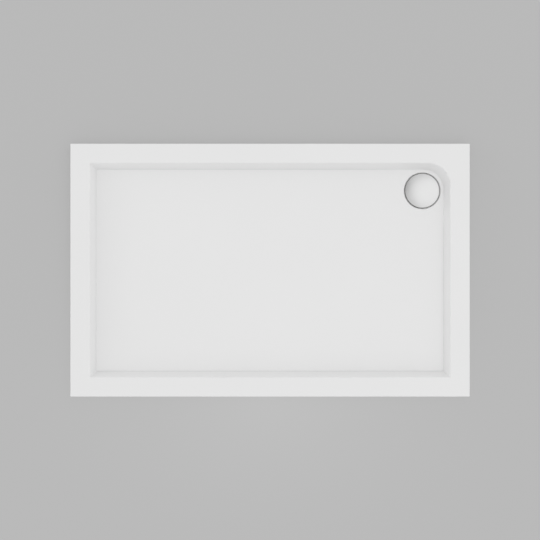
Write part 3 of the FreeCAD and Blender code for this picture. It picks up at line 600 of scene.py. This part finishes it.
def scratch_group():
    """Thin straight scratches in three directions: narrow bands of a noise that is drawn out long."""
    tree, given, leave = new_group(
        "fine_scratches",
        [("Vector", "NodeSocketVector", None), ("Length", "NodeSocketFloat", 0.03),
         ("Width", "NodeSocketFloat", 0.0004), ("Amount", "NodeSocketFloat", 0.5)],
        [("Mask", "NodeSocketFloat")])
    total = None
    for number, turn in enumerate(SCRATCH_TURNS):
        turned_way = add_node(tree, "ShaderNodeVectorRotate",
                              {"Vector": given["Vector"], "Axis": (0.0, 0.0, 1.0),
                               "Angle": math.radians(turn)}, rotation_type="AXIS_ANGLE")
        apart = add_node(tree, "ShaderNodeSeparateXYZ", {"Vector": turned_way.outputs[0]})
        along = maths(tree, "DIVIDE", apart.outputs["X"], given["Length"])
        across = maths(tree, "DIVIDE", apart.outputs["Y"], given["Width"])
        joined = add_node(tree, "ShaderNodeCombineXYZ", {"X": along, "Y": across, "Z": float(number)})
        lines = add_node(tree, "ShaderNodeTexNoise", {"Vector": joined.outputs[0], "Scale": 1.0,
                                                      "Detail": 1.0})
        start, change = SCRATCH_EDGE
        edge = maths(tree, "SUBTRACT", start, maths(tree, "MULTIPLY", given["Amount"], change))
        band = maths(tree, "GREATER_THAN", lines.outputs["Fac"], edge)
        total = band if total is None else maths(tree, "MAXIMUM", total, band)
    return finish_group(tree, leave, {"Mask": total})


def lathe_group():
    """Rings of a turned metal face: noise along the distance from an upright axis."""
    tree, given, leave = new_group(
        "turned_rings",
        [("Vector", "NodeSocketVector", None), ("Pitch", "NodeSocketFloat", 0.0004)],
        [("Height", "NodeSocketFloat"), ("Shade", "NodeSocketFloat")])
    apart = add_node(tree, "ShaderNodeSeparateXYZ", {"Vector": given["Vector"]})
    squares = maths(tree, "ADD", maths(tree, "POWER", apart.outputs["X"], 2.0),
                    maths(tree, "POWER", apart.outputs["Y"], 2.0))
    radius = maths(tree, "DIVIDE", maths(tree, "SQRT", squares), given["Pitch"])
    level = maths(tree, "DIVIDE", apart.outputs["Z"], given["Pitch"])
    joined = add_node(tree, "ShaderNodeCombineXYZ", {"X": radius, "Y": level})
    rings = add_node(tree, "ShaderNodeTexNoise",
                     {"Vector": joined.outputs[0], "Scale": 1.0, "Detail": 2.0})
    slow = add_node(tree, "ShaderNodeTexNoise",
                    {"Vector": joined.outputs[0], "Scale": SLOW_RINGS, "Detail": 2.0})
    return finish_group(tree, leave, {"Height": rings.outputs["Fac"], "Shade": slow.outputs["Fac"]})


def dust_group():
    """Film that settles on faces that look up, in soft patches."""
    tree, given, leave = new_group(
        "settled_film",
        [("Vector", "NodeSocketVector", None), ("Patch size", "NodeSocketFloat", 0.08),
         ("Amount", "NodeSocketFloat", 0.3)],
        [("Mask", "NodeSocketFloat")])
    normal = add_node(tree, "ShaderNodeNewGeometry").outputs["Normal"]
    apart = add_node(tree, "ShaderNodeSeparateXYZ", {"Vector": normal})
    upward = maths(tree, "MAXIMUM", apart.outputs["Z"], 0.0)
    scale = maths(tree, "DIVIDE", 1.0, given["Patch size"])
    patches = add_node(tree, "ShaderNodeTexNoise", {"Vector": given["Vector"], "Scale": scale,
                                                    "Detail": 6.0, "Roughness": 0.6})
    soft = ranged(tree, patches.outputs["Fac"], *FILM_SPAN, 0.0, 1.0)
    mask = maths(tree, "MULTIPLY", maths(tree, "MULTIPLY", soft, upward), given["Amount"])
    return finish_group(tree, leave, {"Mask": mask})


GROUPS = {
    "surface_grain": grain_group,
    "fine_scratches": scratch_group,
    "turned_rings": lathe_group,
    "settled_film": dust_group,
}


def placed(tree, name, inputs):
    """Outputs of a shared node group in a material; the group is built the first time it is used."""
    group = bpy.data.node_groups.get(name) or GROUPS[name]()
    return add_node(tree, "ShaderNodeGroup", inputs, node_tree=group).outputs


def new_material(name, colour, roughness, metallic=0.0):
    """Material with its tree and a Principled shader with plain values."""
    material = bpy.data.materials.new(name)
    material.use_nodes = True
    material.diffuse_color = opaque(colour)
    tree = material.node_tree
    shader = tree.nodes["Principled BSDF"]
    shader.inputs["Base Color"].default_value = opaque(colour)
    shader.inputs["Roughness"].default_value = roughness
    shader.inputs["Metallic"].default_value = metallic
    return material, tree, shader


def bump(tree, shader, height, depth):
    """Bump of a height between 0 and 1 that stands for a depth in metres."""
    node = add_node(tree, "ShaderNodeBump", {"Height": height, "Distance": depth, "Strength": 1.0})
    tree.links.new(node.outputs["Normal"], shader.inputs["Normal"])


# ---------------------------------------------------------------- finishes


# Painted shade along the crease: how much of the sheet it covers at most, and its shade against the sheet.
CREASE_PAINTED_SHADE = {"cover": 0.5, "shade": 0.8}


def acrylic_finish(colour):
    """Gloss white sheet: slow waviness of the pressed sheet, wiped haze, fine scratches and painted shade
    along the crease.
    """
    material, tree, shader = new_material("white_acrylic", colour, 0.16)
    place = coordinates(tree)
    grain = placed(tree, "surface_grain", {"Vector": place, "Grain size": 0.012, "Mottle size": 0.35})
    scratches = placed(tree, "fine_scratches", {"Vector": place, "Length": 0.05, "Width": 0.0005,
                                                "Amount": 0.35})["Mask"]
    crease = add_node(tree, "ShaderNodeAttribute", attribute_name="crease").outputs["Fac"]
    even = blended(tree, grain["Mottle"], shaded(colour, 0.985), shaded(colour, 1.015))
    # Painted shade: the crease field darkens the sheet's colour along the foot of the wall.
    film = maths(tree, "MULTIPLY", crease, CREASE_PAINTED_SHADE["cover"])
    tree.links.new(blended(tree, film, even, shaded(colour, CREASE_PAINTED_SHADE["shade"])),
                   shader.inputs["Base Color"])
    haze = ranged(tree, grain["Mottle"], *NOISE_SPAN, 0.13, 0.22)
    tree.links.new(maths(tree, "ADD", haze, maths(tree, "MULTIPLY", scratches, 0.06)),
                   shader.inputs["Roughness"])
    bump(tree, shader, grain["Height"], 0.00001)
    return material


def chrome_finish(colour):
    """Satin chrome of the dome: faint polishing rings, fine scratches and a thin film."""
    material, tree, shader = new_material("dome_chrome", colour, 0.15, 1.0)
    place = about_waste(tree)
    rings = placed(tree, "turned_rings", {"Vector": place, "Pitch": 0.0003})
    scratches = placed(tree, "fine_scratches", {"Vector": place, "Length": 0.012, "Width": 0.00012,
                                                "Amount": 0.5})["Mask"]
    film = placed(tree, "settled_film", {"Vector": place, "Patch size": 0.03, "Amount": 0.5})["Mask"]
    tree.links.new(blended(tree, film, opaque(colour), shaded(colour, 0.97)), shader.inputs["Base Color"])
    base = ranged(tree, rings["Shade"], *NOISE_SPAN, 0.13, 0.17)
    rough = maths(tree, "ADD", base, maths(tree, "MULTIPLY", film, 0.06))
    tree.links.new(maths(tree, "ADD", rough, maths(tree, "MULTIPLY", scratches, 0.1)),
                   shader.inputs["Roughness"])
    bump(tree, shader, rings["Height"], 0.0000015)
    return material


def steel_finish(name, colour, roughness, pitch):
    """Stainless steel with turned rings, scratches and a thin film."""
    material, tree, shader = new_material(name, colour, roughness, 1.0)
    place = about_waste(tree)
    rings = placed(tree, "turned_rings", {"Vector": place, "Pitch": pitch})
    film = placed(tree, "settled_film", {"Vector": place, "Patch size": 0.01, "Amount": 0.5})["Mask"]
    tree.links.new(blended(tree, rings["Shade"], shaded(colour, 0.9), shaded(colour, 1.08)),
                   shader.inputs["Base Color"])
    base = ranged(tree, rings["Height"], *NOISE_SPAN, roughness - 0.05, roughness + 0.07)
    tree.links.new(maths(tree, "ADD", base, maths(tree, "MULTIPLY", film, 0.15)),
                   shader.inputs["Roughness"])
    bump(tree, shader, rings["Height"], 0.000012)
    return material


def moulded_finish(name, colour, roughness, grain_size, depth):
    """Moulded plastic or rubber: fine grain, slow mottling and a little dust on what looks up."""
    material, tree, shader = new_material(name, colour, roughness)
    place = coordinates(tree)
    grain = placed(tree, "surface_grain", {"Vector": place, "Grain size": grain_size,
                                           "Mottle size": 0.03})
    film = placed(tree, "settled_film", {"Vector": place, "Patch size": 0.02, "Amount": 0.25})["Mask"]
    even = blended(tree, grain["Mottle"], shaded(colour, 0.93), shaded(colour, 1.05))
    tree.links.new(blended(tree, film, even, shaded(colour, 0.85)), shader.inputs["Base Color"])
    tree.links.new(ranged(tree, grain["Mottle"], *NOISE_SPAN, roughness - 0.06, roughness + 0.08),
                   shader.inputs["Roughness"])
    bump(tree, shader, grain["Height"], depth)
    return material


def stone_finish(colour):
    """Cast resin full of stone grit: speckles of two greys and small pits."""
    material, tree, shader = new_material("stone_resin", colour, 0.7)
    place = coordinates(tree)
    grain = placed(tree, "surface_grain", {"Vector": place, "Grain size": 0.0015, "Mottle size": 0.04})
    specks = add_node(tree, "ShaderNodeTexVoronoi", {"Vector": place, "Scale": 450.0, "Randomness": 1.0})
    dark = ranged(tree, specks.outputs["Distance"], 0.05, 0.3, 1.0, 0.0)
    even = blended(tree, grain["Mottle"], shaded(colour, 0.88), shaded(colour, 1.1))
    tree.links.new(blended(tree, maths(tree, "MULTIPLY", dark, 0.5), even, shaded(colour, 0.55)),
                   shader.inputs["Base Color"])
    bump(tree, shader, grain["Height"], 0.0003)
    return material


def fibre_finish(colour):
    """Chopped strands in resin: three layers of long thin noise, each at its own angle."""
    material, tree, shader = new_material("glass_fibre", colour, 0.45)
    place = coordinates(tree)
    strands = placed(tree, "fine_scratches", {"Vector": place, "Length": 0.02, "Width": 0.0012,
                                              "Amount": 1.6})["Mask"]
    grain = placed(tree, "surface_grain", {"Vector": place, "Grain size": 0.004, "Mottle size": 0.06})
    even = blended(tree, grain["Mottle"], shaded(colour, 0.8), shaded(colour, 1.1))
    tree.links.new(blended(tree, maths(tree, "MULTIPLY", strands, 0.5), even, shaded(colour, 1.4)),
                   shader.inputs["Base Color"])
    tree.links.new(ranged(tree, grain["Height"], *NOISE_SPAN, 0.3, 0.55), shader.inputs["Roughness"])
    height = maths(tree, "ADD", grain["Height"], maths(tree, "MULTIPLY", strands, 0.5))
    bump(tree, shader, height, 0.0006)
    return material


# Turned steels: roughness and pitch of the rings.
STEELS = {
    "flange_steel": (0.32, 0.0004),
    "strainer_steel": (0.22, 0.0006),
}

# Moulded finishes: roughness, size of the grain and its depth.
MOULDINGS = {
    "carrier_plastic": (0.45, 0.0006, 0.00003),
    "seal_rubber": (0.6, 0.0005, 0.00002),
    "trap_plastic": (0.42, 0.0007, 0.00004),
    "nut_plastic": (0.38, 0.0006, 0.00003),
    "washer_plastic": (0.4, 0.0006, 0.00002),
    "insert_plastic": (0.3, 0.0008, 0.00001),
}


def steel(name, colour):
    """One of the turned steels."""
    return steel_finish(name, colour, *STEELS[name])


def moulded(name, colour):
    """One of the moulded finishes."""
    return moulded_finish(name, colour, *MOULDINGS[name])


def dress(nodes, material):
    """Put a material on CAD nodes, which keep their shape and place."""
    for name in nodes:
        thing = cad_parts[name]
        if not thing.material_slots:
            raise RuntimeError(f"{name} has no material slot")
        for slot in thing.material_slots:
            slot.material = material


# ---------------------------------------------------------------- operators


class TRAY_OT_sheet(Operator):
    """Make the white sheet with its rim, dish, pocket and skirts"""

    bl_idname = "shower_tray.sheet"
    bl_label = "Acrylic sheet"

    def execute(self, context):
        form = SheetForm(context.scene.tray_sheet)
        points = form.grid()
        # The crease field is painted shade, which darkens the sheet along the foot of its wall.
        thing = add_surface("acrylic_sheet", points, True, {"crease": form.crease_shade_field(points)})
        finish = acrylic_finish(context.scene.tray_finishes.acrylic)
        seat(thing, "tray", finish, SHEET_NODE)
        return {"FINISHED"}


class TRAY_OT_dome(Operator):
    """Make the metal dome over the waste"""

    bl_idname = "shower_tray.dome"
    bl_label = "Dome"

    def execute(self, context):
        sizes = context.scene.tray_dome
        low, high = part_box(DOME_NODE)
        section = dome_section((high.x - low.x) / 2, low.z, high.z, sizes)
        thing = add_surface("chrome_dome", turned(section, DOME_STATIONS, waste_axis()), False)
        finish = chrome_finish(context.scene.tray_finishes.chrome)
        seat(thing, "cover", finish, DOME_NODE)
        return {"FINISHED"}


class TRAY_OT_backing(Operator):
    """Finish the cast core and the glass-fibre mat under the sheet"""

    bl_idname = "shower_tray.backing"
    bl_label = "Core and mat"

    def execute(self, context):
        finishes = context.scene.tray_finishes
        dress(["resin_core"], stone_finish(finishes.resin))
        dress(["base_mat"], fibre_finish(finishes.fibre))
        return {"FINISHED"}


class TRAY_OT_waste(Operator):
    """Finish the flange, the strainer, the dome's carrier and the seals"""

    bl_idname = "shower_tray.waste"
    bl_label = "Waste"

    def execute(self, context):
        finishes = context.scene.tray_finishes
        dress(["waste_flange"], steel("flange_steel", finishes.steel))
        dress(["hair_strainer"], steel("strainer_steel", finishes.bright_steel))
        dress(["cover_carrier"], moulded("carrier_plastic", finishes.carrier))
        dress(["flange_seal", "body_gasket", "elbow_seal", "cone_seal", "insert_seal"],
              moulded("seal_rubber", finishes.rubber))
        return {"FINISHED"}


class TRAY_OT_trap(Operator):
    """Finish the trap, its lift-out insert, its outlet and its nuts"""

    bl_idname = "shower_tray.trap"
    bl_label = "Trap"

    def execute(self, context):
        finishes = context.scene.tray_finishes
        dress(["trap_body", "outlet_elbow"], moulded("trap_plastic", finishes.trap))
        dress(["compression_nut", "swivel_nut"], moulded("nut_plastic", finishes.nut))
        dress(["slip_washer"], moulded("washer_plastic", finishes.washer))
        dress(["trap_insert"], moulded("insert_plastic", finishes.insert))
        return {"FINISHED"}


# ---------------------------------------------------------------- stage


# How far the floor lies below the tray's bed face, which keeps the two from flickering.
FLOOR_DROP = 0.0003

# Painted pool of light on the floor at the tray's far side, toward -Y: its reach along X, Y and Z, and how
# much it lightens the floor.
PAINTED_POOL_REACH = (0.9, 0.6, 1.0)
PAINTED_POOL_LIGHT = 1.09


def add_floor(studio):
    """Level floor just under the tray, cut out under it, where its trap goes down.

    Part of what the camera and the gloss see of it is its own even glow, and the rest keeps the
    tray's shadow. It is clear from below.
    """
    side = studio.floor_size / 2
    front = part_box(SHEET_NODE)[1].y
    hole = [half - studio.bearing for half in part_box(SHEET_NODE)[1][:2]]
    mesh = bpy.data.meshes.new("studio_floor")
    corners = np.array([(-1, -1, 0), (1, -1, 0), (1, 1, 0), (-1, 1, 0)], float)
    outer = corners * (side, side, 0) - (0, 0, FLOOR_DROP)
    inner = corners * (*hole, 0) - (0, 0, FLOOR_DROP)
    frames = [(corner, (corner + 1) % 4, (corner + 1) % 4 + 4, corner + 4) for corner in range(4)]
    mesh.from_pydata(np.concatenate((outer, inner)).tolist(), [], frames)
    floor = bpy.data.objects.new("studio_floor", mesh)
    bpy.context.scene.collection.objects.link(floor)
    material, tree, shader = new_material("studio_floor", studio.floor_tint, 0.9)
    place = coordinates(tree)
    painted_pool_place = add_node(tree, "ShaderNodeMapping", {"Vector": place, "Location": (0.0, -front, 0.0),
                                                     "Scale": PAINTED_POOL_REACH}, vector_type="TEXTURE")
    painted_pool = add_node(tree, "ShaderNodeTexGradient", {"Vector": painted_pool_place.outputs[0]},
                    gradient_type="QUADRATIC_SPHERE").outputs["Fac"]
    # Painted light: the floor's colour, and so its glow, is lighter in a pool at the tray's -Y side.
    grey = blended(tree, painted_pool, opaque(studio.floor_tint), shaded(studio.floor_tint, PAINTED_POOL_LIGHT))
    tree.links.new(grey, shader.inputs["Base Color"])
    shader.inputs["Specular IOR Level"].default_value = 0.0
    glow = add_node(tree, "ShaderNodeEmission", {"Color": grey, "Strength": 1.0})
    ray = add_node(tree, "ShaderNodeLightPath").outputs
    mirrored = maths(tree, "MAXIMUM", ray["Is Glossy Ray"], ray["Is Transmission Ray"])
    seen = maths(tree, "MAXIMUM", ray["Is Camera Ray"], mirrored)
    along = add_node(tree, "ShaderNodeSeparateXYZ", {"Vector": place}).outputs["Y"]
    evened = ranged(tree, along, -front, front, studio.near_glow, studio.far_glow)
    mixed = add_node(tree, "ShaderNodeMixShader", {"Fac": maths(tree, "MULTIPLY", seen, evened)})
    tree.links.new(shader.outputs[0], mixed.inputs[1])
    tree.links.new(glow.outputs[0], mixed.inputs[2])
    clear = add_node(tree, "ShaderNodeBsdfTransparent")
    behind = add_node(tree, "ShaderNodeNewGeometry").outputs["Backfacing"]
    one_sided = add_node(tree, "ShaderNodeMixShader", {"Fac": behind})
    tree.links.new(mixed.outputs[0], one_sided.inputs[1])
    tree.links.new(clear.outputs[0], one_sided.inputs[2])
    tree.links.new(one_sided.outputs[0], tree.nodes["Material Output"].inputs["Surface"])
    floor.data.materials.append(material)


# Round patches of the room's light. The middle of each is tilted from straight up, toward a turn
# anticlockwise from +X. It is full within the inner angle of its middle and ends at the outer one.
SOFT_BOX = {"tilt": 18.5, "turn": 1.0, "inner": 11.0, "outer": 46.0}
SIDE_LIGHT = {"tilt": 82.0, "turn": 170.0, "inner": 5.0, "outer": 30.0}
DIM_CORNER = {"tilt": 53.5, "turn": 162.0, "inner": 15.0, "outer": 38.5}

# Heights of a direction, as the sine of its elevation, between which the room's parts blend.
WALLS_TOP = (0.30, 0.07)
WALLS_FOOT = (0.0, -0.4)

# The same sines, between which gloss and metal begin to mirror the plain backdrop, not the lights.
BACKDROP_TOP = (0.7, 0.4)


def lit_patch(tree, way, strength, tilt, turn, inner, outer):
    """Brightness that a patch adds in a direction: all of it, none of it, and between them the
    S-curve 3 s^2 - 2 s^3 of how far the cosine of the angle has come."""
    tilt, turn = math.radians(tilt), math.radians(turn)
    middle = (math.sin(tilt) * math.cos(turn), math.sin(tilt) * math.sin(turn), math.cos(tilt))
    near = add_node(tree, "ShaderNodeVectorMath", {0: way, 1: middle}, operation="DOT_PRODUCT")
    edges = math.cos(math.radians(outer)), math.cos(math.radians(inner))
    return ranged(tree, near.outputs["Value"], *edges, 0.0, strength, interpolation_type="SMOOTHSTEP")


def light_room(studio):
    """Soft box overhead in a room with pale walls, a dim corner, a side light and a darker ground."""
    world = bpy.data.worlds.new("studio")
    bpy.context.scene.world = world
    world.use_nodes = True
    tree = world.node_tree
    way = add_node(tree, "ShaderNodeTexCoord").outputs["Generated"]
    upward = add_node(tree, "ShaderNodeSeparateXYZ", {"Vector": way}).outputs["Z"]
    level = studio.room_level
    for part in (
            lit_patch(tree, way, 1 - studio.room_level, **SOFT_BOX),
            lit_patch(tree, way, studio.side_level, **SIDE_LIGHT),
            lit_patch(tree, way, -studio.dim_level, **DIM_CORNER),
            ranged(tree, upward, *WALLS_TOP, 0.0, studio.wall_level - studio.room_level),
            ranged(tree, upward, *WALLS_FOOT, 0.0, studio.ground_level - studio.wall_level)):
        level = maths(tree, "ADD", level, part)
    background = tree.nodes["Background"]
    background.inputs["Color"].default_value = opaque((1.0, 1.0, 1.0))
    tree.links.new(maths(tree, "MULTIPLY", level, studio.light_level), background.inputs["Strength"])
    plain = add_node(tree, "ShaderNodeBackground", {"Color": opaque(studio.floor_tint), "Strength": 1.0})
    ray = add_node(tree, "ShaderNodeLightPath").outputs
    mirrored = maths(tree, "MAXIMUM", ray["Is Glossy Ray"], ray["Is Transmission Ray"])
    level_view = ranged(tree, upward, *BACKDROP_TOP, 0.0, 1.0)
    seen = maths(tree, "MAXIMUM", ray["Is Camera Ray"], maths(tree, "MULTIPLY", mirrored, level_view))
    mixed = add_node(tree, "ShaderNodeMixShader", {"Fac": seen})
    tree.links.new(background.outputs[0], mixed.inputs[1])
    tree.links.new(plain.outputs[0], mixed.inputs[2])
    tree.links.new(mixed.outputs[0], tree.nodes["World Output"].inputs["Surface"])


def add_camera(studio):
    """Camera straight above the tray, as high as its lens needs for the width that it covers."""
    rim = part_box(SHEET_NODE)[1].z
    data = bpy.data.cameras.new("camera")
    data.lens = studio.lens
    camera = bpy.data.objects.new("camera", data)
    bpy.context.scene.collection.objects.link(camera)
    pixel = studio.view_width / PHOTO_SIDE
    height = studio.view_width * studio.lens / data.sensor_width
    camera.location = ((PHOTO_SIDE / 2 - studio.centre_across) * pixel,
                       (studio.centre_down - PHOTO_SIDE / 2) * pixel, rim + height)
    bpy.context.scene.camera = camera


class TRAY_OT_stage(Operator):
    """Set up the floor, the light and the camera"""

    bl_idname = "shower_tray.stage"
    bl_label = "Stage"

    def execute(self, context):
        studio = context.scene.tray_studio
        add_floor(studio)
        light_room(studio)
        add_camera(studio)
        context.scene.view_settings.view_transform = "Standard"
        return {"FINISHED"}


OPERATORS = (TRAY_OT_sheet, TRAY_OT_dome, TRAY_OT_backing, TRAY_OT_waste, TRAY_OT_trap, TRAY_OT_stage)
SETTINGS = {
    "tray_sheet": SheetSizes,
    "tray_dome": DomeSizes,
    "tray_finishes": Finishes,
    "tray_studio": StudioSizes,
}


class VIEW3D_PT_shower_tray(Panel):
    """Sizes, colours and operators of the shower tray"""

    bl_label = "Shower Tray"
    bl_space_type = "VIEW_3D"
    bl_region_type = "UI"
    bl_category = "Shower Tray"

    def draw(self, context):
        for name, kind in SETTINGS.items():
            box = self.layout.box()
            settings = getattr(context.scene, name)
            for field in kind.__annotations__:
                box.prop(settings, field)
        for operator in OPERATORS:
            self.layout.operator(operator.bl_idname)


def register():
    for kind in (*SETTINGS.values(), *OPERATORS, VIEW3D_PT_shower_tray):
        bpy.utils.register_class(kind)
    for name, kind in SETTINGS.items():
        setattr(bpy.types.Scene, name, PointerProperty(type=kind))


def unregister():
    for name in SETTINGS:
        delattr(bpy.types.Scene, name)
    for kind in (VIEW3D_PT_shower_tray, *reversed(OPERATORS), *reversed(tuple(SETTINGS.values()))):
        bpy.utils.unregister_class(kind)


def main():
    """Register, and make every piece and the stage."""
    register()
    bpy.ops.shower_tray.sheet()
    bpy.ops.shower_tray.dome()
    bpy.ops.shower_tray.backing()
    bpy.ops.shower_tray.waste()
    bpy.ops.shower_tray.trap()
    bpy.ops.shower_tray.stage()


if __name__ == "__main__":
    main()
